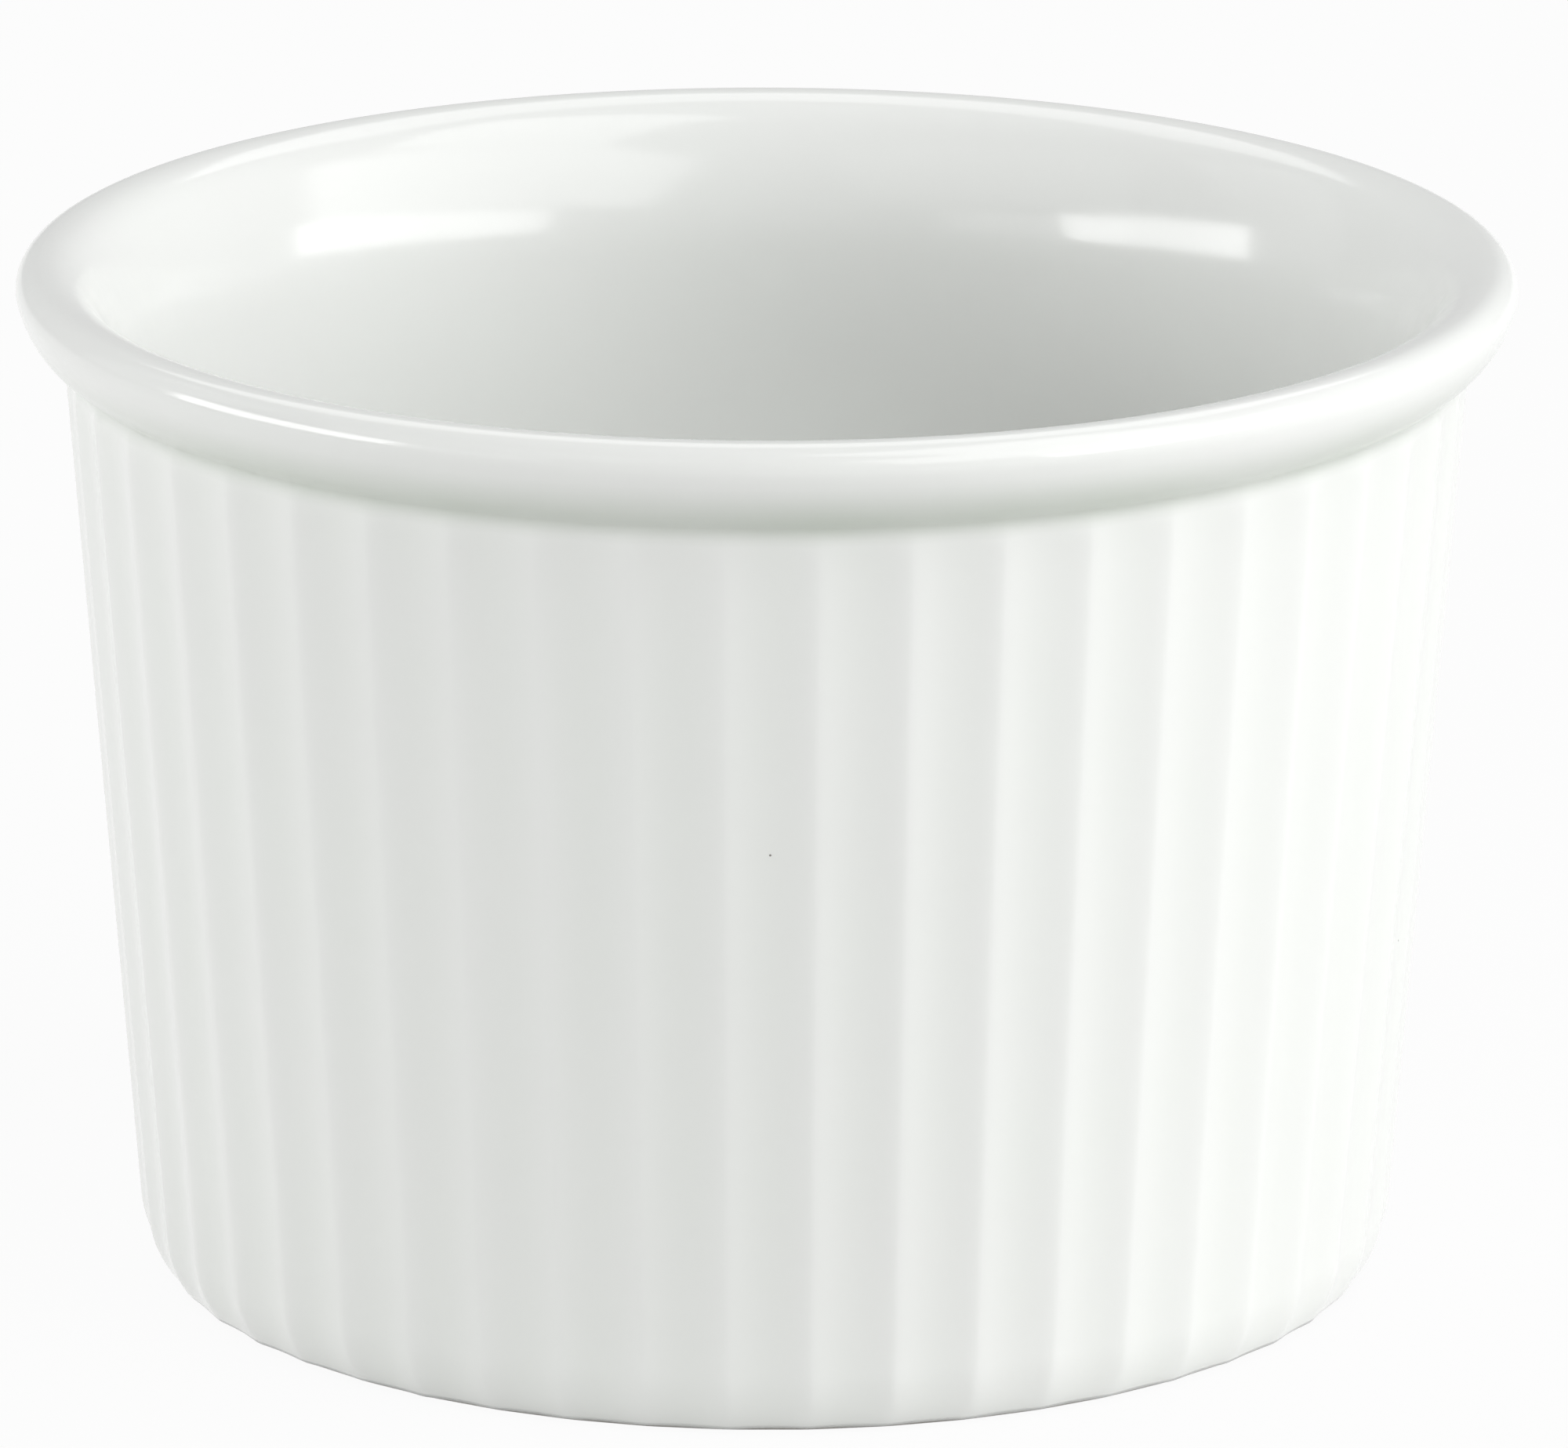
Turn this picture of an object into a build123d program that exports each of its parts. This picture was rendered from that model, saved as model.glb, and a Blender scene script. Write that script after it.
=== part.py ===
from build123d import *
import math
import os

# A fluted porcelain ramekin: one thrown and fluted clay body, fired, with a glassy
# coat over everything but its foot. Millimetres, +Z up, origin at the centre of the
# circle that it stands on. The skill is in the wall: hollow flutes that meet in
# arrises, run up under the rolled lip and turn in over the rounded base corner.

# The whole pot
rim_radius = 45.0
overall_height = 62.0
wall_thickness = 3.8
draft = 4.5
floor_thickness = 4.2
floor_corner_radius = 7.0

# Rolled lip
lip_overhang = 2.85
lip_depth = 5.6
lip_nose_radius = 1.5
lip_nose_tuck = 13.0
lip_under_radius = 5.7
lip_cove_radius = 1.2
lip_inner_radius = 3.4
lip_inner_turn = 56.0

# Flutes
flute_count = 48
flute_depth = 0.3
flute_run_up = 1.5
arris_width = 0.45
cutter_gap_share = 0.1
root_cover = 0.15

# Rounded base corner and foot
corner_height = 4.0
corner_radius = 7.0
foot_ring_width = 4.6
foot_recess_depth = 1.6
foot_recess_lean = 30.0

# Glaze
glaze_thickness = 0.25
glaze_line_height = 0.35
base_glaze_margin = 0.9

# How far a cutter runs past what it cuts
overrun = 5.0

sin_draft = math.sin(math.radians(draft))
cos_draft = math.cos(math.radians(draft))
tan_draft = math.tan(math.radians(draft))
wall_down = Vector(-sin_draft, -cos_draft)
wall_out = Vector(cos_draft, -sin_draft)
neck_radius = rim_radius - lip_overhang
neck_height = overall_height - lip_depth
floor_height = foot_recess_depth + floor_thickness


def arris_radius(height):
    """Radius of the arrises on the straight wall at a height."""
    return neck_radius - (neck_height - height) * tan_draft


def root_radius(height, skin):
    """Radius of the plain wall that lies just under the flutes' deepest lines."""
    return arris_radius(height) - flute_depth - root_cover - skin / cos_draft


def bowl_radius(height, skin):
    """Radius of the straight wall inside the bowl at a height."""
    return arris_radius(height) - (wall_thickness - skin) / cos_draft


def wall_point(height, inset):
    """Point of the section on the straight wall, moved square to it by an inset."""
    return Vector(arris_radius(height), height) - wall_out * inset


# The base corner is an arc about one centre, which runs on to the resting plane.
corner_centre = wall_point(corner_height, corner_radius)


def foot_radius(skin):
    """Radius of the arrises where the outside reaches the resting plane."""
    turn = math.acos(corner_centre.Y / (corner_radius - skin))
    return corner_centre.X + (corner_radius - skin) * math.sin(turn)


def rounded_bowl(skin):
    """Lines of the section from the lip's crest down to the middle of the floor."""
    crest = Vector(rim_radius - lip_nose_radius, overall_height - skin)
    nose = JernArc(crest, (-1, 0), lip_inner_radius - skin, lip_inner_turn)
    # The flare is the one arc that leaves the nose and lies along the bowl's wall.
    start = nose @ 1
    way = nose % 1
    gap = start.X - bowl_radius(start.Y, skin)
    closing = way.Y * tan_draft - way.X
    reach = gap / closing
    meeting = start + way * reach
    flare_end = meeting + wall_down * reach
    flare = TangentArc(start, flare_end, tangent=way)
    # The floor's corner is an arc between the wall and the floor.
    floor = floor_height - skin
    corner = Vector(bowl_radius(floor, skin), floor)
    turn_radius = floor_corner_radius + skin
    half_turn = math.radians(90 - draft) / 2
    run = turn_radius * math.tan(half_turn)
    wall_end = corner - wall_down * run
    wall = Line(flare_end, wall_end)
    turn = JernArc(wall_end, wall_down, turn_radius, draft - 90)
    base = Line(turn @ 1, (0, floor))
    return [nose, flare, wall, turn, base]


def rolled_lip(skin):
    """Lines of the section from the lip's crest, round its outside, to the wall."""
    crest = Vector(rim_radius - lip_nose_radius, overall_height - skin)
    nose = JernArc(crest, (1, 0), lip_nose_radius - skin, -90 - lip_nose_tuck)
    under_radius = lip_under_radius - skin
    cove_radius = lip_cove_radius + skin
    # The under arc turns in just as far as the cove has to turn back to the wall.
    lead = math.radians(lip_nose_tuck - draft)
    end = nose @ 1
    stand_off = (end.X - root_radius(end.Y, skin)) * cos_draft
    share = (under_radius * math.cos(lead) + cove_radius - stand_off) / (
        under_radius + cove_radius
    )
    cove_turn = math.degrees(math.acos(share))
    under_turn = cove_turn + draft - lip_nose_tuck
    under = JernArc(end, nose % 1, under_radius, -under_turn)
    cove = JernArc(under @ 1, under % 1, cove_radius, cove_turn)
    return [nose, under, cove]


def plain_pot(skin):
    """The pot before fluting, solid below its floor, a skin inside the glaze."""
    bowl = rounded_bowl(skin)
    lip = rolled_lip(skin)
    wall_foot = (root_radius(corner_height, skin), corner_height)
    toe = (foot_radius(skin) - flute_depth - root_cover, 0)
    outside = Polyline(lip[-1] @ 1, wall_foot, toe, (0, 0), bowl[-1] @ 1)
    section = Plane.XZ * make_face(bowl + lip + [outside])
    return revolve(section, Axis.Z, 360)


def wall_stock(skin):
    """The unfluted outside of the wall, from under the lip to the resting plane."""
    top = wall_point(neck_height + flute_run_up, skin)
    start = wall_point(corner_height, skin)
    side = Line(top, start)
    toe = Vector(foot_radius(skin), 0)
    corner = TangentArc(start, toe, tangent=wall_down)
    rest = Polyline(toe, (0, 0), (0, top.Y), top)
    section = Plane.XZ * make_face([side, corner, rest])
    return revolve(section, Axis.Z, 360)


def half_hollow(height):
    """Half the width of a flute at a height, which leaves an arris between two."""
    return (math.pi * arris_radius(height) - flute_count * arris_width / 2) / flute_count


def wall_bulge(height):
    """How far the round wall stands out between the two edges of a flute."""
    return half_hollow(height) ** 2 / (2 * arris_radius(height))


# A flute is the trace of one round bar that lies along the wall and turns under it.
# The depth under the lip gives its radius. Lower down it lies a little further out,
# since the flutes narrow with the wall while the arrises keep their width.
hollow_rise = flute_depth - wall_bulge(neck_height)
cutter_radius = (half_hollow(neck_height) ** 2 + hollow_rise**2) / (2 * hollow_rise)


def cutter_point(height):
    """Point of the section on the cutter's axis, out from a height of the wall."""
    lift = math.sqrt(cutter_radius**2 - half_hollow(height) ** 2)
    return wall_point(height, wall_bulge(height) - lift)


def upright(point):
    """A point of the section as a point in the upright plane over the X axis."""
    return Vector(point.X, 0, point.Y)


def flute_cutter(skin):
    """One flute's cutter: down the wall, then round and in under the base corner."""
    high = cutter_point(neck_height)
    low = cutter_point(corner_height)
    rise = (high - low).normalized()
    bar = Circle(cutter_radius + skin)
    along_wall = Plane(upright(low), z_dir=upright(rise))
    down_wall = extrude(along_wall * bar, (high - low).length + lip_depth)
    reach = (low - corner_centre).length
    inward = Vector(-rise.Y, rise.X)
    hinge = Axis(upright(low + inward * reach), (0, 1, 0))
    round_corner = revolve(along_wall * bar, hinge, 90 - draft)
    # A wedge keeps each cutter to its own share of the turn, clear of the next one.
    gap = cutter_gap_share * arris_width / neck_radius
    far = 2 * rim_radius
    side = far * math.tan(math.pi / flute_count - gap)
    wedge_face = make_face(Polyline((0, 0), (far, -side), (far, side), close=True))
    wedge = extrude(Pos(0, 0, -overrun) * wedge_face, overall_height + 2 * overrun)
    return (down_wall + round_corner) & wedge


def fluted_stock(skin):
    """The outside of the wall with its flutes, which run over the base corner."""
    cutter = flute_cutter(skin)
    pitch = 360 / flute_count
    cutters = [Rot(0, 0, index * pitch) * cutter for index in range(flute_count)]
    return wall_stock(skin) - cutters


def fluted_pot(skin):
    """The pot with its flutes, solid below its floor, a skin inside the glaze."""
    middle = wall_thickness / 2
    foot = foot_radius(0) - middle
    top = wall_point(overall_height, middle)
    core = make_face(
        Polyline(
            (0, -overrun),
            (foot, -overrun),
            (foot, corner_height),
            top,
            (0, top.Y),
            close=True,
        )
    )
    jacket = fluted_stock(skin) - revolve(Plane.XZ * core, Axis.Z, 360)
    return plain_pot(skin) + jacket


def recess_cutter():
    """The shallow hollow under the pot that leaves a foot ring to stand on."""
    mouth = foot_radius(glaze_thickness) - foot_ring_width
    lean = math.tan(math.radians(foot_recess_lean))
    spread = overrun * lean
    section = make_face(
        Polyline(
            (0, -overrun),
            (mouth + spread, -overrun),
            (recess_roof_radius(), foot_recess_depth),
            (0, foot_recess_depth),
            close=True,
        )
    )
    return revolve(Plane.XZ * section, Axis.Z, 360)


def recess_roof_radius():
    """Radius of the flat roof of the hollow under the pot."""
    mouth = foot_radius(glaze_thickness) - foot_ring_width
    return mouth - foot_recess_depth * math.tan(math.radians(foot_recess_lean))


def porcelain_body():
    """The fired clay: bowl, fluted wall, rolled lip and bare foot ring."""
    return fluted_pot(glaze_thickness) - recess_cutter()


def glaze_coat():
    """The glassy coat over bowl, lip and flutes, wiped away at the foot."""
    wipe_height = overrun + glaze_line_height
    wipe = Pos(0, 0, -overrun) * Cylinder(
        rim_radius + overrun, wipe_height, align=(Align.CENTER, Align.CENTER, Align.MIN)
    )
    return (fluted_pot(0) - wipe) - fluted_pot(glaze_thickness)


def base_glaze():
    """The separate patch of glaze on the roof of the hollow under the pot."""
    outer = recess_roof_radius() - base_glaze_margin
    roof = foot_recess_depth
    lower = roof - glaze_thickness
    edge = JernArc((outer, roof), (0, -1), glaze_thickness, -90)
    lines = Polyline(edge @ 1, (0, lower), (0, roof), (outer, roof))
    return revolve(Plane.XZ * make_face([edge, lines]), Axis.Z, 360)


os.makedirs("parts", exist_ok=True)
pieces = {
    "porcelain_body": porcelain_body(),
    "glaze_coat": glaze_coat(),
    "base_glaze": base_glaze(),
}
for name, shape in pieces.items():
    export_step(shape, f"parts/{name}.step")
    print(name, "volume", round(shape.volume, 1), "solids", len(shape.solids()))
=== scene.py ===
"""A fluted white porcelain ramekin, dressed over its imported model.

The pot has three pieces: the fired clay body, the glassy coat over it and the patch of
glaze under its foot. Each is a section drawn with a pen and turned about the pot's
axis, and the body and the coat are then fluted. Sizes are in millimetres until a mesh
is finished.
"""

import logging
import math
from dataclasses import dataclass, field
from enum import Enum

import bmesh
import bpy
from mathutils import Euler, Matrix, Vector, noise


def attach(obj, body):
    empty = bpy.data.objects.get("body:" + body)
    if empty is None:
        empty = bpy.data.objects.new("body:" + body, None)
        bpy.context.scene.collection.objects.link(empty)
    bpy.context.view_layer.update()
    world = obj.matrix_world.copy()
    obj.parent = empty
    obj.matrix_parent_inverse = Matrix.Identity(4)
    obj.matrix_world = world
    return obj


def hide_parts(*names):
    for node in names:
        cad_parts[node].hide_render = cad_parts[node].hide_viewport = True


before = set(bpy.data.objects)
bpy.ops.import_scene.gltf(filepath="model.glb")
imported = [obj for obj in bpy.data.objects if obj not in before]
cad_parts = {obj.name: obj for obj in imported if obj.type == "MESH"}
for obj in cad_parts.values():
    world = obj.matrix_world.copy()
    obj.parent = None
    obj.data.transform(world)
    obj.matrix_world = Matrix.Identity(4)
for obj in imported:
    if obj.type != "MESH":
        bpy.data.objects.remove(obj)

MILLIMETRE = 0.001
# A hair under full size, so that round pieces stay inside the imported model's facets.
FIT = 0.9999
# Vertices nearer than this, in millimetres, become one at a mesh's seam and poles.
MERGE_DISTANCE = 1e-4
# The mesh attribute that says where the glaze lies thick, and where shade is painted
# under the lip.
POOLING_AND_SHADE = "pooling_and_shade"
# Most of a noise texture's values lie between these two.
NOISE_LOW = 0.3
NOISE_HIGH = 0.7
# The share of a dot's radius at which its edge starts to soften.
DOT_CORE = 0.6
WHITE = (1.0, 1.0, 1.0, 1.0)

log = logging.getLogger("ramekin")

Colour = tuple[float, float, float]


class Slot(Enum):
    """The record's material slots."""

    CLAY = "fired_porcelain"
    GLAZE = "white_glaze"


class Skin(Enum):
    """How far a surface lies inside the glazed one, in millimetres."""

    GLAZED = 0.0
    CLAY = 0.25


def clamped(share: float) -> float:
    """Returns a share held between 0 and 1."""
    return min(max(share, 0.0), 1.0)


def eased(share: float) -> float:
    """Returns a share from 0 to 1 that starts and ends gently."""
    return share * share * (3.0 - 2.0 * share)


# ---------------------------------------------------------------- finishes


@dataclass(frozen=True)
class Shading:
    """A new node material and short calls that add and link its nodes."""

    material: bpy.types.Material

    @classmethod
    def named(cls, name: str) -> "Shading":
        """Starts a material with an empty node tree.

        Args:
            name: The material's name.

        Returns:
            The shading that builds it.
        """
        material = bpy.data.materials.new(name)
        material.use_nodes = True
        material.node_tree.nodes.clear()
        return cls(material)

    def add(self, kind: str, **values: object) -> bpy.types.Node:
        """Adds a node and sets its plain properties.

        Args:
            kind: Blender's name for the node type.
            **values: Properties of the node, by name.

        Returns:
            The new node.
        """
        node = self.material.node_tree.nodes.new(kind)
        for name, value in values.items():
            setattr(node, name, value)
        return node

    def link(self, source: bpy.types.NodeSocket, target: bpy.types.NodeSocket) -> None:
        """Links an output to an input."""
        self.material.node_tree.links.new(source, target)

    def place(self) -> bpy.types.NodeSocket:
        """Returns the socket of the pot's own coordinates, in metres."""
        return self.add("ShaderNodeTexCoord").outputs["Object"]

    def cloud(self, size: float, detail: float = 3.0) -> bpy.types.NodeSocket:
        """Adds smooth noise.

        Args:
            size: The width of its patches in millimetres.
            detail: How many finer layers it has.

        Returns:
            The socket of its value, from 0 to 1.
        """
        texture = self.add("ShaderNodeTexNoise", noise_dimensions="3D")
        texture.inputs["Scale"].default_value = 1.0 / (size * MILLIMETRE)
        texture.inputs["Detail"].default_value = detail
        self.link(self.place(), texture.inputs["Vector"])
        return texture.outputs["Fac"]

    def remap(
        self,
        value: bpy.types.NodeSocket,
        low: float,
        high: float,
        out_low: float,
        out_high: float,
    ) -> bpy.types.NodeSocket:
        """Stretches a value from one range to another, clamped.

        Args:
            value: The socket to stretch.
            low: The value that becomes out_low.
            high: The value that becomes out_high.
            out_low: The result at low.
            out_high: The result at high.

        Returns:
            The socket of the result.
        """
        node = self.add("ShaderNodeMapRange", clamp=True)
        node.inputs["From Min"].default_value = low
        node.inputs["From Max"].default_value = high
        node.inputs["To Min"].default_value = out_low
        node.inputs["To Max"].default_value = out_high
        self.link(value, node.inputs["Value"])
        return node.outputs["Result"]

    def tint(
        self,
        share: bpy.types.NodeSocket,
        under: bpy.types.NodeSocket | Colour,
        over: bpy.types.NodeSocket | Colour,
    ) -> bpy.types.NodeSocket:
        """Mixes two colours.

        Args:
            share: How much of the second colour shows.
            under: The first colour, or the socket that gives it.
            over: The second colour, or the socket that gives it.

        Returns:
            The socket of the mixed colour.
        """
        node = self.add("ShaderNodeMix", data_type="RGBA")
        self.link(share, node.inputs[0])
        for socket, colour in ((node.inputs[6], under), (node.inputs[7], over)):
            if isinstance(colour, tuple):
                socket.default_value = (*colour, 1.0)
            else:
                self.link(colour, socket)
        return node.outputs[2]

    def uneven(
        self, value: float, size: float, low: float, high: float
    ) -> bpy.types.NodeSocket:
        """Varies a value in soft patches.

        Args:
            value: The value that is varied.
            size: The width of the patches in millimetres.
            low: The lowest result, as a share of the value.
            high: The highest result, as a share of the value.

        Returns:
            The socket of the result.
        """
        cloud = self.cloud(size)
        return self.remap(cloud, NOISE_LOW, NOISE_HIGH, value * low, value * high)

    def bumps(
        self,
        size: float,
        height: float,
        detail: float,
        under: bpy.types.NodeSocket | None = None,
    ) -> bpy.types.NodeSocket:
        """Adds low bumps from smooth noise.

        Args:
            size: The width of a bump in millimetres.
            height: The height of a bump in millimetres.
            detail: How many finer layers the noise has.
            under: The normal that the bumps are laid on, if they aren't the first.

        Returns:
            The socket of the new normal.
        """
        node = self.add("ShaderNodeBump")
        node.inputs["Distance"].default_value = height * MILLIMETRE
        self.link(self.cloud(size, detail), node.inputs["Height"])
        if under is not None:
            self.link(under, node.inputs["Normal"])
        return node.outputs["Normal"]

    def speckle(
        self, spacing: float, width: float, share: float
    ) -> bpy.types.NodeSocket:
        """Adds rare round dots.

        Args:
            spacing: The distance between places where a dot may be, in millimetres.
            width: The width of a dot in millimetres.
            share: The share of the places that have one.

        Returns:
            The socket that is 1 on a dot and 0 off it.
        """
        cells = self.add("ShaderNodeTexVoronoi", feature="F1")
        cells.inputs["Scale"].default_value = 1.0 / (spacing * MILLIMETRE)
        self.link(self.place(), cells.inputs["Vector"])
        reach = 0.5 * width / spacing
        dots = self.remap(
            cells.outputs["Distance"], reach * DOT_CORE, reach, 1.0, 0.0
        )
        chance = self.add("ShaderNodeSeparateColor")
        self.link(cells.outputs["Color"], chance.inputs["Color"])
        chosen = self.add("ShaderNodeMath", operation="LESS_THAN")
        self.link(chance.outputs["Red"], chosen.inputs[0])
        chosen.inputs[1].default_value = share
        both = self.add("ShaderNodeMath", operation="MULTIPLY")
        self.link(dots, both.inputs[0])
        self.link(chosen.outputs["Value"], both.inputs[1])
        return both.outputs["Value"]

    def finish(self, shader: bpy.types.Node) -> bpy.types.Material:
        """Links a shader to the material's output.

        Args:
            shader: The node that shades the surface.

        Returns:
            The finished material.
        """
        output = self.add("ShaderNodeOutputMaterial")
        self.link(shader.outputs[0], output.inputs["Surface"])
        return self.material


@dataclass(frozen=True)
class GlazeFinish:
    """The glassy white coat: a faint green where glaze pools in hollows, and darker
    under the lip for pooled glaze and painted shade.

    Its sizes and heights are in millimetres.
    """

    thin: Colour = (0.885, 0.90, 0.878)
    # The pooled colour is dark enough to stand for the shade under the lip as well as
    # the glaze that pools there.
    pooled_and_shaded: Colour = (0.64, 0.69, 0.62)
    clouded: Colour = (0.875, 0.875, 0.865)
    cloud_size: float = 14.0
    cloud_start: float = 0.35
    cloud_end: float = 0.75
    cloud_share: float = 0.35
    speck: Colour = (0.22, 0.21, 0.19)
    speck_spacing: float = 4.2
    speck_width: float = 0.17
    speck_share: float = 0.06
    roughness: float = 0.14
    gloss_size: float = 5.0
    gloss_low: float = 0.85
    gloss_high: float = 1.2
    refraction: float = 1.5
    ripple_size: float = 9.0
    ripple_height: float = 0.05
    ripple_detail: float = 1.0
    peel_size: float = 1.1
    peel_height: float = 0.004
    peel_detail: float = 2.0

    def material(self) -> bpy.types.Material:
        """Builds the glaze's material.

        Returns:
            The node material. It reads the mesh's own attribute for pooling and painted
            shade.
        """
        shading = Shading.named("white_glaze")
        pooling_and_shade = shading.add("ShaderNodeAttribute", attribute_name=POOLING_AND_SHADE)
        # Darker green-grey where the glaze pools, and painted shade in the groove under
        # the lip.
        colour = shading.tint(pooling_and_shade.outputs["Fac"], self.thin, self.pooled_and_shaded)
        haze = shading.remap(
            shading.cloud(self.cloud_size),
            self.cloud_start,
            self.cloud_end,
            0.0,
            self.cloud_share,
        )
        colour = shading.tint(haze, colour, self.clouded)
        specks = shading.speckle(
            self.speck_spacing, self.speck_width, self.speck_share
        )
        colour = shading.tint(specks, colour, self.speck)
        shader = shading.add("ShaderNodeBsdfPrincipled")
        shading.link(colour, shader.inputs["Base Color"])
        gloss = shading.uneven(
            self.roughness, self.gloss_size, self.gloss_low, self.gloss_high
        )
        shading.link(gloss, shader.inputs["Roughness"])
        shader.inputs["IOR"].default_value = self.refraction
        ripple = shading.bumps(self.ripple_size, self.ripple_height, self.ripple_detail)
        peel = shading.bumps(self.peel_size, self.peel_height, self.peel_detail, ripple)
        shading.link(peel, shader.inputs["Normal"])
        return shading.finish(shader)


@dataclass(frozen=True)
class ClayFinish:
    """Bare fired clay: matt, faintly warm, with a fine tooth and a few iron specks.

    Its sizes and heights are in millimetres.
    """

    clean: Colour = (0.83, 0.81, 0.77)
    stained: Colour = (0.70, 0.675, 0.63)
    stain_size: float = 7.0
    stain_detail: float = 5.0
    stain_start: float = 0.45
    stain_end: float = 0.75
    stain_share: float = 0.7
    speck: Colour = (0.30, 0.25, 0.20)
    speck_spacing: float = 2.1
    speck_width: float = 0.16
    speck_share: float = 0.12
    roughness: float = 0.78
    wear_size: float = 3.0
    wear_low: float = 0.92
    wear_high: float = 1.08
    tooth_size: float = 0.35
    tooth_height: float = 0.02
    tooth_detail: float = 2.0

    def material(self) -> bpy.types.Material:
        """Builds the bare clay's material.

        Returns:
            The node material.
        """
        shading = Shading.named("bare_clay")
        stain = shading.remap(
            shading.cloud(self.stain_size, self.stain_detail),
            self.stain_start,
            self.stain_end,
            0.0,
            self.stain_share,
        )
        colour = shading.tint(stain, self.clean, self.stained)
        specks = shading.speckle(
            self.speck_spacing, self.speck_width, self.speck_share
        )
        colour = shading.tint(specks, colour, self.speck)
        shader = shading.add("ShaderNodeBsdfPrincipled")
        shading.link(colour, shader.inputs["Base Color"])
        wear = shading.uneven(
            self.roughness, self.wear_size, self.wear_low, self.wear_high
        )
        shading.link(wear, shader.inputs["Roughness"])
        tooth = shading.bumps(self.tooth_size, self.tooth_height, self.tooth_detail)
        shading.link(tooth, shader.inputs["Normal"])
        return shading.finish(shader)


# ---------------------------------------------------------------- the pot's sizes


@dataclass(frozen=True)
class PotSizes:
    """The pot's sizes in millimetres and degrees.

    They are the source's own, but for the last six, which serve this dressing alone.
    """

    rim_radius: float = 45.0
    overall_height: float = 62.0
    wall_thickness: float = 3.8
    draft: float = 4.5
    floor_thickness: float = 4.2
    floor_corner_radius: float = 7.0
    lip_overhang: float = 2.85
    lip_depth: float = 5.6
    lip_nose_radius: float = 1.5
    lip_nose_tuck: float = 13.0
    lip_under_radius: float = 5.7
    lip_cove_radius: float = 1.2
    lip_inner_radius: float = 3.4
    lip_inner_turn: float = 56.0
    flute_count: int = 48
    flute_depth: float = 0.3
    corner_height: float = 4.0
    corner_radius: float = 7.0
    foot_ring_width: float = 4.6
    foot_recess_depth: float = 1.6
    foot_recess_lean: float = 30.0
    glaze_thickness: float = 0.25
    glaze_line_height: float = 0.35
    base_glaze_margin: float = 0.9
    flute_foot_depth: float = 0.27
    flute_end_share: float = 0.3
    flute_end_height: float = 3.2
    arris_softness: float = 0.16
    flute_fade: tuple[float, float] = (54.6, 56.7)
    foot_edge_radius: float = 0.35

    @property
    def lean(self) -> float:
        """The wall's draft in radians."""
        return math.radians(self.draft)

    @property
    def neck_height(self) -> float:
        """The height at which the lip ends."""
        return self.overall_height - self.lip_depth

    @property
    def floor_height(self) -> float:
        """The height of the bowl's glazed floor."""
        return self.foot_recess_depth + self.floor_thickness

    def arris_radius(self, height: float) -> float:
        """Returns the radius of the arrises on the straight wall at a height."""
        neck = self.rim_radius - self.lip_overhang
        return neck - (self.neck_height - height) * math.tan(self.lean)

    def bowl_radius(self, height: float, skin: float) -> float:
        """Returns the radius of the bowl's straight wall at a height, for a skin."""
        inset = (self.wall_thickness - skin) / math.cos(self.lean)
        return self.arris_radius(height) - inset

    @property
    def corner_centre(self) -> Vector:
        """The centre of the base corner's arc, in the section."""
        start = Vector((self.arris_radius(self.corner_height), self.corner_height))
        inward = Vector((-math.cos(self.lean), math.sin(self.lean)))
        return start + inward * self.corner_radius

    @property
    def recess_slope(self) -> float:
        """How far the side of the foot's hollow leans in for each step up."""
        return math.tan(math.radians(self.foot_recess_lean))

    def corner_angle(self, height: float, radius: float) -> float:
        """Returns how far below level, in degrees, a corner arc is at a height."""
        return math.degrees(math.asin((self.corner_centre.y - height) / radius))


# ---------------------------------------------------------------- drawing a section


@dataclass
class SectionPen:
    """Draws half a section in the XZ plane as one chain of mesh edges.

    It stands on the last vertex and looks along its heading, in degrees from +X
    towards +Z.
    """

    mesh: bmesh.types.BMesh
    start: tuple[float, float]
    heading: float
    tip: bmesh.types.BMVert = field(init=False)

    def __post_init__(self) -> None:
        """Puts the first vertex down."""
        self.tip = self.mesh.verts.new((self.start[0], 0.0, self.start[1]))

    @property
    def way(self) -> Vector:
        """The direction in which the pen looks."""
        turn = math.radians(self.heading)
        return Vector((math.cos(turn), 0.0, math.sin(turn)))

    @property
    def spot(self) -> Vector:
        """The pen's place in the section."""
        return Vector((self.tip.co.x, self.tip.co.z))

    def straight(self, length: float, steps: int) -> None:
        """Draws a straight run.

        Args:
            length: The run's length.
            steps: The number of edges in it.
        """
        for _ in range(steps):
            made = bmesh.ops.extrude_vert_indiv(self.mesh, verts=[self.tip])
            self.tip = made["verts"][0]
            step = self.way * (length / steps)
            bmesh.ops.translate(self.mesh, verts=[self.tip], vec=step)

    def turn(self, radius: float, degrees: float, steps: int) -> None:
        """Draws an arc that leaves along the pen's heading.

        Args:
            radius: The arc's radius.
            degrees: How far it turns, to the left when positive.
            steps: The number of edges in it.
        """
        side = math.copysign(1.0, degrees)
        left = Vector((-self.way.z, 0.0, self.way.x))
        made = bmesh.ops.spin(
            self.mesh,
            geom=[self.tip],
            cent=self.tip.co + left * (radius * side),
            axis=(0.0, -side, 0.0),
            angle=math.radians(abs(degrees)),
            steps=steps,
        )
        ends = made["geom_last"]
        self.tip = next(part for part in ends if isinstance(part, bmesh.types.BMVert))
        self.heading += degrees


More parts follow.
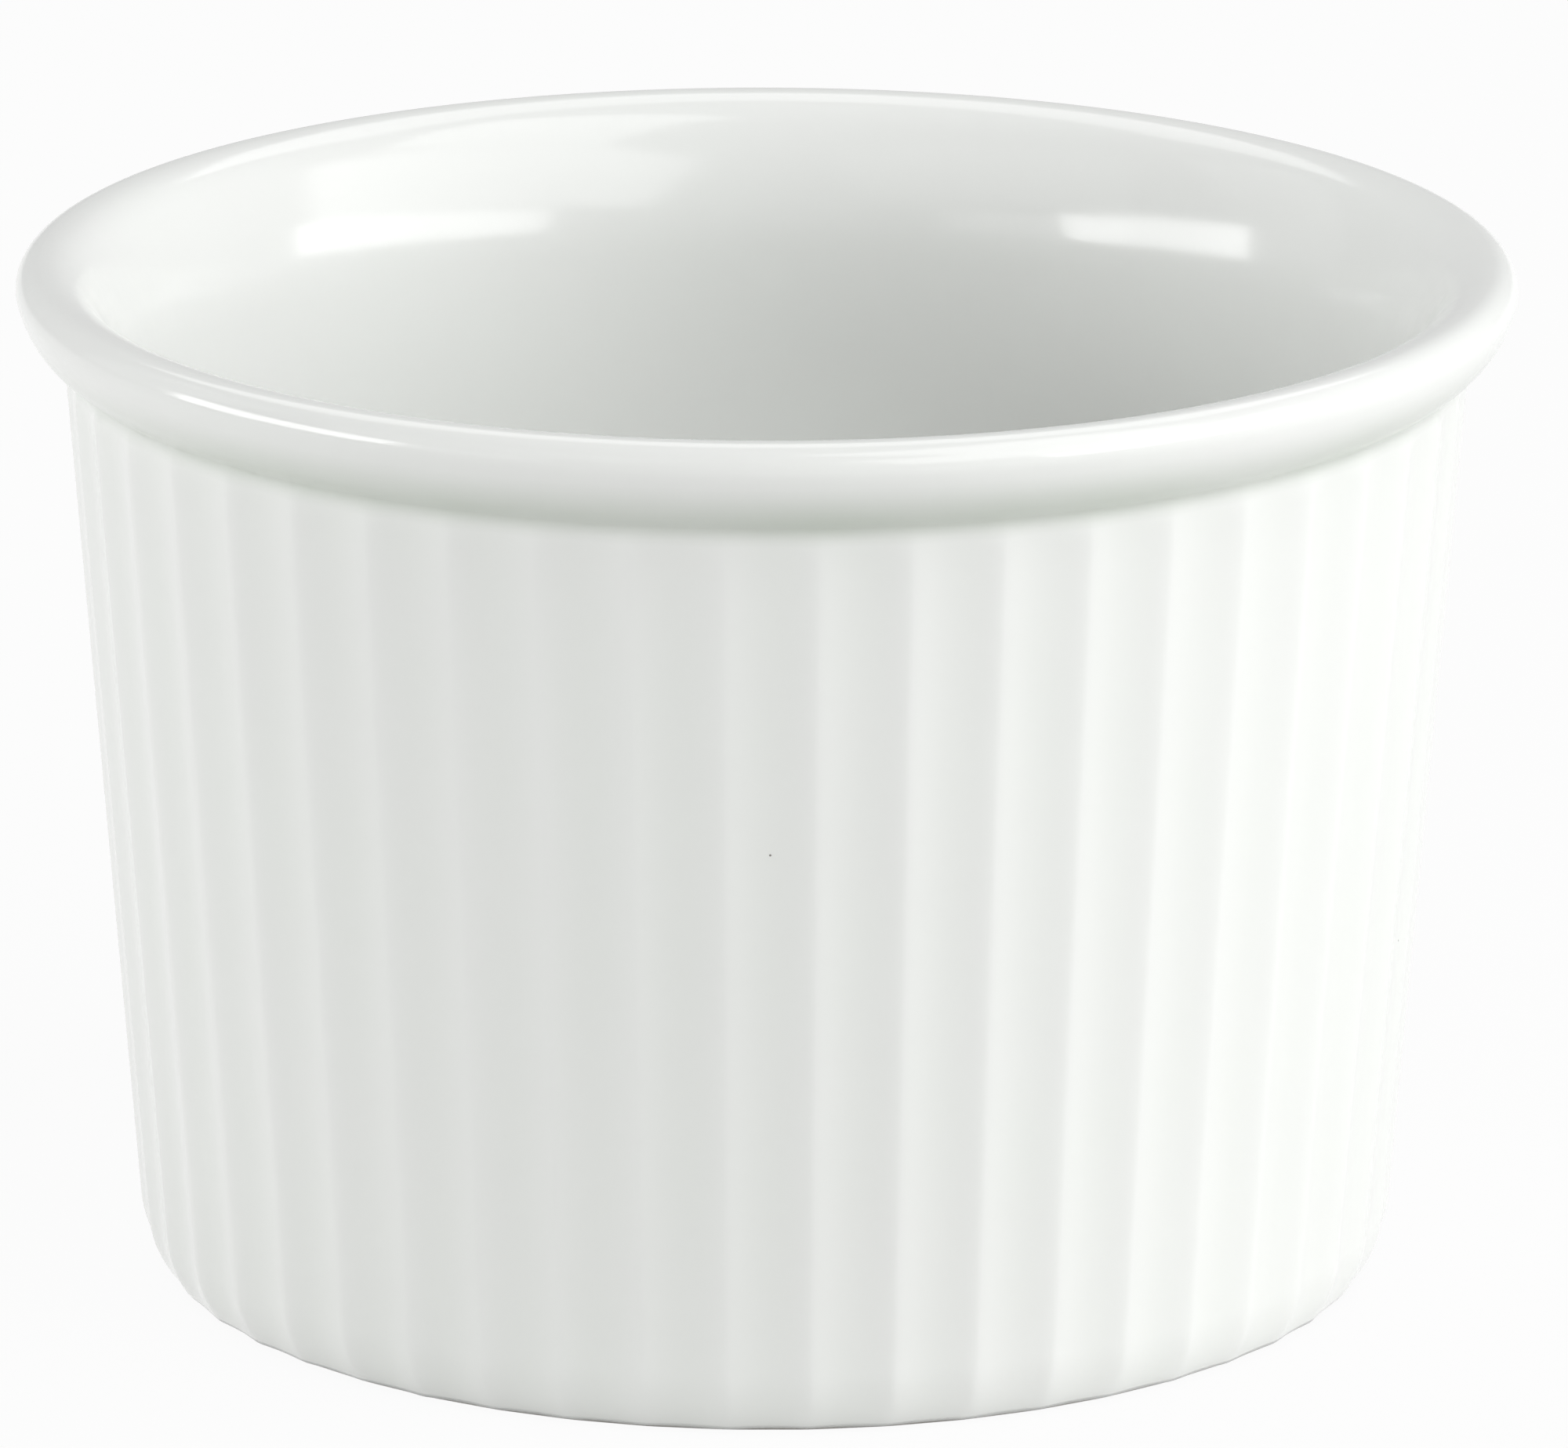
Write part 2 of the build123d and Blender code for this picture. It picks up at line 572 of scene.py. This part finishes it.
@dataclass(frozen=True)
class PotSection:
    """Draws the pot's section for one skin: the glazed surface, or the clay's.

    The fade is the last stretch of the wall under the lip, where the flutes run out.
    """

    sizes: PotSizes
    skin: float
    corner_steps: int = 9
    wall_steps: int = 6
    fade_length: float = 4.0
    fade_steps: int = 11
    cove_steps: int = 6
    under_steps: int = 7
    nose_steps: int = 9
    crest_steps: int = 5
    flare_steps: int = 7
    bowl_steps: int = 3
    floor_corner_steps: int = 7
    floor_steps: int = 4

    def outside(self, pen: SectionPen) -> None:
        """Draws from the base corner up the wall, round the lip, to its crest.

        The wall lies at the depth of the flutes. Their arrises are raised later.

        Args:
            pen: A pen on the base corner's arc, looking up along it.
        """
        sizes = self.sizes
        upright = 90.0 - sizes.draft
        pen.turn(self.valley_arc, upright - pen.heading, self.corner_steps)
        cove = sizes.lip_cove_radius + self.skin
        under = sizes.lip_under_radius - self.skin
        lead = math.radians(sizes.lip_nose_tuck - sizes.draft)
        nose_end = self.nose_end
        gap = nose_end.x - self.valley_radius(nose_end.y)
        stand_off = gap * math.cos(sizes.lean)
        share = (under * math.cos(lead) + cove - stand_off) / (under + cove)
        cove_turn = math.degrees(math.acos(share))
        under_turn = cove_turn + sizes.draft - sizes.lip_nose_tuck
        # The cove starts where the two arcs, drawn back from the nose, meet the wall.
        spare = (under + cove) * math.sin(math.radians(cove_turn))
        spare -= under * math.sin(lead)
        wall_way = Vector((math.sin(sizes.lean), math.cos(sizes.lean)))
        along = (nose_end - pen.spot).dot(wall_way) - spare
        pen.straight(along - self.fade_length, self.wall_steps)
        pen.straight(self.fade_length, self.fade_steps)
        pen.turn(cove, -cove_turn, self.cove_steps)
        pen.turn(under, under_turn, self.under_steps)
        nose = sizes.lip_nose_radius - self.skin
        pen.turn(nose, 90.0 + sizes.lip_nose_tuck, self.nose_steps)

    @property
    def nose_end(self) -> Vector:
        """The point where the lip's nose passes into its underside."""
        sizes = self.sizes
        radius = sizes.lip_nose_radius - self.skin
        tuck = math.radians(sizes.lip_nose_tuck)
        centre = Vector(
            (
                sizes.rim_radius - sizes.lip_nose_radius,
                sizes.overall_height - sizes.lip_nose_radius,
            )
        )
        return centre + Vector((math.cos(tuck), -math.sin(tuck))) * radius

    def valley_radius(self, height: float) -> float:
        """Returns the radius of the wall at the flutes' depth, at a height."""
        inset = (self.sizes.flute_depth + self.skin) / math.cos(self.sizes.lean)
        return self.sizes.arris_radius(height) - inset

    @property
    def valley_arc(self) -> float:
        """The radius of the base corner's arc at the flutes' depth."""
        return self.sizes.corner_radius - self.sizes.flute_depth - self.skin

    def inside(self, pen: SectionPen) -> None:
        """Draws from the lip's crest down the bowl to the middle of its floor.

        Args:
            pen: A pen on the crest, looking inwards.
        """
        sizes = self.sizes
        crest = sizes.lip_inner_radius - self.skin
        pen.turn(crest, sizes.lip_inner_turn, self.crest_steps)
        # The flare is the one arc that leaves the nose and lies along the bowl's wall.
        gap = pen.spot.x - sizes.bowl_radius(pen.spot.y, self.skin)
        reach = gap / (pen.way.z * math.tan(sizes.lean) - pen.way.x)
        down = 270.0 - sizes.draft
        bend = down - pen.heading
        pen.turn(reach / math.tan(math.radians(bend / 2.0)), bend, self.flare_steps)
        floor = sizes.floor_height - self.skin
        radius = sizes.floor_corner_radius + self.skin
        run = radius * math.tan(math.radians(90.0 - sizes.draft) / 2.0)
        depth = (pen.spot.y - floor) / math.cos(sizes.lean)
        pen.straight(depth - run, self.bowl_steps)
        pen.turn(radius, sizes.draft - 90.0, self.floor_corner_steps)
        pen.straight(pen.spot.x, self.floor_steps)


# ---------------------------------------------------------------- shaping a turned mesh


@dataclass(frozen=True)
class Fluting:
    """Raises the arrises between the hollow flutes on a turned wall.

    Crowding is how strongly the mesh's columns gather near an arris. The raising dies
    away within foot_blend of the corner's arc, and the groove is the one under the lip.
    """

    sizes: PotSizes
    skin: float
    crowding: float = 0.55
    foot_blend: float = 0.9
    hollow_pooling: float = 0.12
    groove_height: float = 56.7
    groove_above: float = 3.3
    groove_below: float = 1.5

    @property
    def pitch(self) -> float:
        """The angle between two flutes, in radians."""
        return 2.0 * math.pi / self.sizes.flute_count

    def crowd(self, mesh: bmesh.types.BMesh) -> None:
        """Draws the mesh's columns together near each arris, where it bends most.

        Args:
            mesh: The turned mesh.
        """
        for vert in mesh.verts:
            angle = math.atan2(vert.co.y, vert.co.x)
            radius = math.hypot(vert.co.x, vert.co.y)
            share = angle / self.pitch - 0.5
            shift = -self.crowding * math.sin(2.0 * math.pi * share) / (2.0 * math.pi)
            turned = angle + shift * self.pitch
            vert.co.x = radius * math.cos(turned)
            vert.co.y = radius * math.sin(turned)

    def hollow(self, angle: float) -> float:
        """Tells how hollow the wall is at an angle about the pot's axis.

        Args:
            angle: The angle in radians.

        Returns:
            0 on an arris, 1 in the middle of a flute.
        """
        share = abs((angle / self.pitch - 0.5) % 1.0)
        across = 2.0 * min(share, 1.0 - share)
        soft = self.sizes.arris_softness
        bent = math.hypot(across, soft) - soft
        bent /= math.hypot(1.0, soft) - soft
        return 1.0 - (1.0 - bent) ** 2

    def groove(self, height: float) -> float:
        """Tells how near a height is to the groove under the lip.

        Args:
            height: The height in millimetres.

        Returns:
            1 in the groove, 0 out of its reach.
        """
        gap = height - self.groove_height
        reach = self.groove_above if gap > 0.0 else self.groove_below
        return eased(max(1.0 - abs(gap) / reach, 0.0))

    def depth(self, height: float) -> float:
        """Works out how deep the flutes are, before they fade under the lip.

        Args:
            height: The height in millimetres.

        Returns:
            The depth in millimetres.
        """
        sizes = self.sizes
        wall = sizes.neck_height - sizes.corner_height
        share = clamped((height - sizes.corner_height) / wall)
        growth = sizes.flute_depth - sizes.flute_foot_depth
        depth = sizes.flute_foot_depth + share * growth
        # The flutes run out over the foot, so that its edge is nearly round.
        ending = eased(min(height / sizes.flute_end_height, 1.0))
        return depth * (sizes.flute_end_share + (1.0 - sizes.flute_end_share) * ending)

    def fade(self, height: float) -> float:
        """Returns the share of the flutes that is left at a height under the lip."""
        bottom, top = self.sizes.flute_fade
        return eased(clamped((top - height) / (top - bottom)))

    def is_outside(self, radius: float, height: float) -> bool:
        """Tells whether a place is on the outside of the lip, wall or base corner.

        Args:
            radius: How far it is from the pot's axis, in millimetres.
            height: Its height in millimetres.

        Returns:
            Whether it is outside. A place in the bowl or under the pot is not.
        """
        sizes = self.sizes
        if radius < sizes.corner_centre.x:
            return False
        middle = sizes.arris_radius(height) - sizes.wall_thickness / 2.0
        return height <= sizes.corner_height or radius > middle

    def raise_arrises(self, mesh: bmesh.types.BMesh) -> None:
        """Moves the wall out from the flutes' depth, and records where glaze pools and
        where shade is painted under the lip.

        Args:
            mesh: The turned mesh, in millimetres.
        """
        sizes = self.sizes
        pooling_and_shade = mesh.verts.layers.float.new(POOLING_AND_SHADE)
        centre = sizes.corner_centre
        valley = sizes.corner_radius - sizes.flute_depth - self.skin
        _, top = sizes.flute_fade
        for vert in mesh.verts:
            radius = math.hypot(vert.co.x, vert.co.y)
            height = vert.co.z
            if not self.is_outside(radius, height):
                continue
            # The groove under the lip and the underside above it are darkened: partly
            # pooled glaze, partly painted shade.
            vert[pooling_and_shade] = self.groove(height)
            if height > top:
                continue
            hollow = self.hollow(math.atan2(vert.co.y, vert.co.x))
            fade = self.fade(height)
            out = (sizes.flute_depth - self.depth(height) * hollow) * fade
            if height > sizes.corner_height:
                way = Vector((math.cos(sizes.lean), -math.sin(sizes.lean)))
            else:
                # Under the foot the raising dies away from its outer edge inwards.
                way = Vector((radius, height)) - centre
                out *= clamped(1.0 - (valley - way.length) / self.foot_blend)
                way.normalize()
            vert.co.x *= (radius + way.x * out) / radius
            vert.co.y *= (radius + way.x * out) / radius
            vert.co.z = max(height + way.y * out, 0.0)
            vert[pooling_and_shade] += self.hollow_pooling * fade * hollow


class Turning:
    """Turns a drawn section into a mesh and hands it over as a finished piece."""

    def __init__(self, name: str, columns: int) -> None:
        """Starts an empty mesh.

        Args:
            name: The piece's name.
            columns: The number of steps in a full turn.
        """
        self.name = name
        self.columns = columns
        self.mesh = bmesh.new()

    def spin(self) -> None:
        """Turns the section about the pot's axis and closes its seam and poles."""
        bmesh.ops.spin(
            self.mesh,
            geom=self.mesh.verts[:] + self.mesh.edges[:],
            cent=(0.0, 0.0, 0.0),
            axis=(0.0, 0.0, 1.0),
            angle=2.0 * math.pi,
            steps=self.columns,
            use_merge=True,
        )
        bmesh.ops.remove_doubles(
            self.mesh, verts=self.mesh.verts[:], dist=MERGE_DISTANCE
        )
        bmesh.ops.recalc_face_normals(self.mesh, faces=self.mesh.faces[:])

    def hand_over(
        self, material: bpy.types.Material, stands_for: str
    ) -> bpy.types.Object:
        """Makes the piece's object, dresses it and puts it on the frame.

        Args:
            material: The piece's finish.
            stands_for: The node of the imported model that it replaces.

        Returns:
            The finished object.
        """
        shrink = MILLIMETRE * FIT
        bmesh.ops.scale(
            self.mesh, vec=(shrink, shrink, shrink), verts=self.mesh.verts[:]
        )
        for face in self.mesh.faces:
            face.smooth = True
        data = bpy.data.meshes.new(self.name)
        self.mesh.to_mesh(data)
        self.mesh.free()
        data.materials.append(material)
        piece = bpy.data.objects.new(self.name, data)
        bpy.context.scene.collection.objects.link(piece)
        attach(piece, "root")
        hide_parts(stands_for)
        faces = len(data.polygons)
        log.info("%s: %d faces, stands for %s", self.name, faces, stands_for)
        return piece


# ---------------------------------------------------------------- the pieces


@dataclass
class GlazeCoat:
    """The glassy coat over bowl, lip and fluted wall, down to the wiped foot."""

    sizes: PotSizes
    finish: GlazeFinish
    columns_per_flute: int = 12
    wipe_wander: float = 0.12
    wipe_grain: float = 0.35

    def build(self) -> bpy.types.Object:
        """Draws, turns, flutes and dresses the coat.

        Returns:
            The coat's object.
        """
        sizes = self.sizes
        turning = Turning("glazed_surface", sizes.flute_count * self.columns_per_flute)
        section = PotSection(sizes, Skin.GLAZED.value)
        arc = section.valley_arc
        below = sizes.corner_angle(sizes.glaze_line_height, arc)
        edge = math.radians(below)
        centre = sizes.corner_centre
        start = (centre.x + arc * math.cos(edge), centre.y - arc * math.sin(edge))
        pen = SectionPen(turning.mesh, start, 90.0 - below)
        section.outside(pen)
        section.inside(pen)
        turning.spin()
        fluting = Fluting(sizes, Skin.GLAZED.value)
        fluting.crowd(turning.mesh)
        fluting.raise_arrises(turning.mesh)
        self.wipe_foot(turning.mesh)
        piece = turning.hand_over(self.finish.material(), "glaze_coat")
        wall = piece.modifiers.new("glass_thickness", "SOLIDIFY")
        wall.thickness = sizes.glaze_thickness * MILLIMETRE
        wall.offset = -1.0
        wall.use_even_offset = False
        return piece

    def wipe_foot(self, mesh: bmesh.types.BMesh) -> None:
        """Lets the coat's lower edge wander a little, as a sponge leaves it.

        Args:
            mesh: The fluted mesh, in millimetres.
        """
        edge = [vert for vert in mesh.verts if vert.is_boundary]
        for vert in edge:
            wander = noise.noise(vert.co * self.wipe_grain)
            # The noise runs from -1 to 1, and the edge only ever rises.
            vert.co.z += self.wipe_wander * (0.5 + 0.5 * wander)


@dataclass
class ClayBody:
    """The fired clay, which shows only on the foot ring and in its hollow."""

    sizes: PotSizes
    finish: ClayFinish
    columns_per_flute: int = 6
    roof_steps: int = 4
    slope_steps: int = 2
    edge_steps: int = 4
    ring_steps: int = 4

    def build(self) -> bpy.types.Object:
        """Draws, turns, flutes and dresses the body.

        Returns:
            The body's object.
        """
        sizes = self.sizes
        turning = Turning("clay_body", sizes.flute_count * self.columns_per_flute)
        section = PotSection(sizes, Skin.CLAY.value)
        roof = self.roof
        edge = sizes.foot_edge_radius
        pen = SectionPen(turning.mesh, (0.0, sizes.foot_recess_depth), 0.0)
        pen.straight(roof, self.roof_steps)
        slope = sizes.foot_recess_lean - 90.0
        length = math.hypot(sizes.foot_recess_depth, self.mouth - roof)
        easing = edge * math.tan(math.radians(-slope / 2.0))
        pen.heading = slope
        pen.straight(length - easing, self.slope_steps)
        pen.turn(edge, -slope, self.edge_steps)
        arc = section.valley_arc
        below = sizes.corner_angle(0.0, arc)
        foot = sizes.corner_centre.x + arc * math.cos(math.radians(below))
        climb = 90.0 - below
        lead = edge * math.tan(math.radians(climb / 2.0))
        pen.straight(foot - lead - pen.spot.x, self.ring_steps)
        pen.turn(edge, climb, self.edge_steps)
        section.outside(pen)
        section.inside(pen)
        turning.spin()
        fluting = Fluting(sizes, Skin.CLAY.value)
        fluting.crowd(turning.mesh)
        fluting.raise_arrises(turning.mesh)
        return turning.hand_over(self.finish.material(), "porcelain_body")

    @property
    def mouth(self) -> float:
        """The radius at which the hollow under the pot opens."""
        sizes = self.sizes
        arc = sizes.corner_radius - Skin.CLAY.value
        below = math.radians(sizes.corner_angle(0.0, arc))
        return sizes.corner_centre.x + arc * math.cos(below) - sizes.foot_ring_width

    @property
    def roof(self) -> float:
        """The radius of the flat roof of the hollow under the pot."""
        sizes = self.sizes
        return self.mouth - sizes.foot_recess_depth * sizes.recess_slope


@dataclass
class FootGlaze:
    """The patch of glaze on the roof of the hollow under the pot."""

    sizes: PotSizes
    finish: GlazeFinish
    roof: float
    columns: int = 160
    face_steps: int = 12
    edge_steps: int = 6
    back_steps: int = 6

    def build(self) -> bpy.types.Object:
        """Draws, turns and dresses the patch.

        Returns:
            The patch's object.
        """
        sizes = self.sizes
        outer = self.roof - sizes.base_glaze_margin
        thickness = sizes.glaze_thickness
        turning = Turning("foot_glaze", self.columns)
        start = (0.0, sizes.foot_recess_depth - thickness)
        pen = SectionPen(turning.mesh, start, 0.0)
        pen.straight(outer - thickness, self.face_steps)
        pen.turn(thickness, 90.0, self.edge_steps)
        pen.heading = 180.0
        pen.straight(outer, self.back_steps)
        turning.spin()
        return turning.hand_over(self.finish.material(), "base_glaze")


# ---------------------------------------------------------------- studio


@dataclass(frozen=True)
class SoftLight:
    """A large soft lamp that looks at the pot: degrees, metres and watts.

    Azimuth 0 is the camera's side, and 90 its right.
    """

    name: str
    azimuth: float
    elevation: float
    width: float
    height: float
    watts: float
    distance: float = 1.2

    def build(self, aim: Vector) -> bpy.types.Object:
        """Hangs the lamp.

        Args:
            aim: The point that it looks at, in metres.

        Returns:
            The lamp's object.
        """
        side = math.radians(self.azimuth)
        rise = math.radians(self.elevation)
        away = Vector(
            (
                math.sin(side) * math.cos(rise),
                -math.cos(side) * math.cos(rise),
                math.sin(rise),
            )
        )
        lamp = bpy.data.lights.new(self.name, "AREA")
        lamp.shape = "RECTANGLE"
        lamp.size = self.width
        lamp.size_y = self.height
        lamp.energy = self.watts
        hung = bpy.data.objects.new(self.name, lamp)
        hung.location = aim + away * self.distance
        hung.rotation_euler = away.to_track_quat("Z", "Y").to_euler()
        bpy.context.scene.collection.objects.link(hung)
        return hung


def backdrop_rays(tree: bpy.types.NodeTree) -> bpy.types.NodeSocket:
    """Adds the nodes that pick out the rays which show the pale backdrop.

    Args:
        tree: The node tree of the floor or of the room.

    Returns:
        The socket that is 1 for the camera's rays and for mirrored and glassy ones.
    """
    path = tree.nodes.new("ShaderNodeLightPath")
    picked = path.outputs["Is Camera Ray"]
    for name in ("Is Glossy Ray", "Is Transmission Ray"):
        both = tree.nodes.new("ShaderNodeMath")
        both.operation = "MAXIMUM"
        tree.links.new(picked, both.inputs[0])
        tree.links.new(path.outputs[name], both.inputs[1])
        picked = both.outputs["Value"]
    return picked


@dataclass(frozen=True)
class Studio:
    """The floor, the soft light and the camera.

    Lengths are in metres and angles in radians, but the width of the floor's mottle and
    of the camera's sensor are in millimetres.
    """

    lights: tuple[SoftLight, ...] = (
        SoftLight("right_window", 56.0, 33.0, 1.6, 0.6, 6.2),
        SoftLight("right_low", 68.0, 10.0, 1.2, 0.36, 6.0),
        SoftLight("right_high", 60.0, 62.0, 0.8, 0.6, 3.1),
        SoftLight("left_window", -45.0, 33.0, 1.1, 0.55, 0.8),
        SoftLight("left_low", -78.0, 10.0, 0.9, 0.36, 6.0),
        SoftLight("left_front", -52.0, 9.0, 0.8, 0.32, 0.8),
        SoftLight("left_side", -110.0, 25.0, 0.6, 0.8, 0.6),
        SoftLight("back_high", 180.0, 55.0, 1.2, 0.6, 3.5),
    )
    world_strength: float = 0.15
    backdrop_strength: float = 0.62
    floor_size: float = 6.0
    floor_colour: Colour = (0.72, 0.72, 0.715)
    mottle_size: float = 40.0
    mottle_share: float = 0.985
    floor_glow: float = 0.94
    # The floor lies just clear of the foot, so that the two faces don't flicker.
    floor_drop: float = 0.00002
    aim_height: float = 0.03
    camera_place: Vector = field(
        default_factory=lambda: Vector((-0.00444494, -0.86494989, 0.27898714))
    )
    camera_pitch: float = 1.29361
    camera_yaw: float = -0.0064
    camera_roll: float = 0.00242
    focal_pixels: float = 18970.146
    image_width: float = 2000.0
    sensor_width: float = 36.0
    nearest: float = 0.01
    farthest: float = 20.0

    def build(self) -> None:
        """Builds the whole studio."""
        self.build_floor()
        self.build_world()
        for light in self.lights:
            light.build(Vector((0.0, 0.0, self.aim_height)))
        self.build_camera()
        bpy.context.scene.view_settings.view_transform = "Standard"

    def build_floor(self) -> None:
        """Lays a pale floor, white to the camera, that keeps the pot's shadow."""
        sheet = bmesh.new()
        bmesh.ops.create_grid(
            sheet,
            x_segments=1,
            y_segments=1,
            size=self.floor_size / 2.0,
            matrix=Matrix.Translation((0.0, 0.0, -self.floor_drop)),
        )
        data = bpy.data.meshes.new("floor")
        sheet.to_mesh(data)
        sheet.free()
        floor = bpy.data.objects.new("floor", data)
        bpy.context.scene.collection.objects.link(floor)
        shading = Shading.named("pale_floor")
        paper = shading.add("ShaderNodeBsdfDiffuse")
        mottle = shading.cloud(self.mottle_size)
        mottle = shading.remap(mottle, NOISE_LOW, NOISE_HIGH, 0.0, 1.0)
        dull = tuple(share * self.mottle_share for share in self.floor_colour)
        colour = shading.tint(mottle, self.floor_colour, dull)
        shading.link(colour, paper.inputs["Color"])
        glow = shading.add("ShaderNodeEmission")
        glow.inputs["Strength"].default_value = 1.0
        picked = backdrop_rays(shading.material.node_tree)
        share = shading.remap(picked, 0.0, 1.0, 0.0, self.floor_glow)
        both = shading.add("ShaderNodeMixShader")
        shading.link(share, both.inputs["Fac"])
        shading.link(paper.outputs["BSDF"], both.inputs[1])
        shading.link(glow.outputs["Emission"], both.inputs[2])
        data.materials.append(shading.finish(both))
        # Only the backdrop's rays see the glow, so it isn't sampled as a lamp.
        shading.material.cycles.emission_sampling = "NONE"

    def build_world(self) -> None:
        """Lights the room softly, and shows it pale to the camera."""
        world = bpy.data.worlds.new("studio_room")
        world.use_nodes = True
        tree = world.node_tree
        tree.nodes.clear()
        mix = tree.nodes.new("ShaderNodeMixShader")
        output = tree.nodes.new("ShaderNodeOutputWorld")
        tree.links.new(backdrop_rays(tree), mix.inputs["Fac"])
        for place, strength in ((1, self.world_strength), (2, self.backdrop_strength)):
            room = tree.nodes.new("ShaderNodeBackground")
            room.inputs["Color"].default_value = WHITE
            room.inputs["Strength"].default_value = strength
            tree.links.new(room.outputs["Background"], mix.inputs[place])
        tree.links.new(mix.outputs["Shader"], output.inputs["Surface"])
        bpy.context.scene.world = world

    def build_camera(self) -> None:
        """Sets the camera up where the photograph was taken from."""
        data = bpy.data.cameras.new("view")
        data.sensor_width = self.sensor_width
        data.sensor_fit = "HORIZONTAL"
        data.lens = self.focal_pixels / self.image_width * self.sensor_width
        data.clip_start = self.nearest
        data.clip_end = self.farthest
        camera = bpy.data.objects.new("view", data)
        turn = Euler((self.camera_pitch, 0.0, self.camera_yaw)).to_matrix()
        turn = turn @ Matrix.Rotation(self.camera_roll, 3, "Z")
        camera.matrix_world = Matrix.Translation(self.camera_place) @ turn.to_4x4()
        bpy.context.scene.collection.objects.link(camera)
        bpy.context.scene.camera = camera


def main() -> None:
    """Builds the pot's pieces and the studio."""
    logging.basicConfig(level=logging.INFO, format="%(name)s: %(message)s")
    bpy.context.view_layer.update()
    sizes = PotSizes()
    body = ClayBody(sizes, ClayFinish())
    body.build()
    GlazeCoat(sizes, GlazeFinish()).build()
    FootGlaze(sizes, GlazeFinish(), body.roof).build()
    Studio().build()


if __name__ == "__main__":
    main()
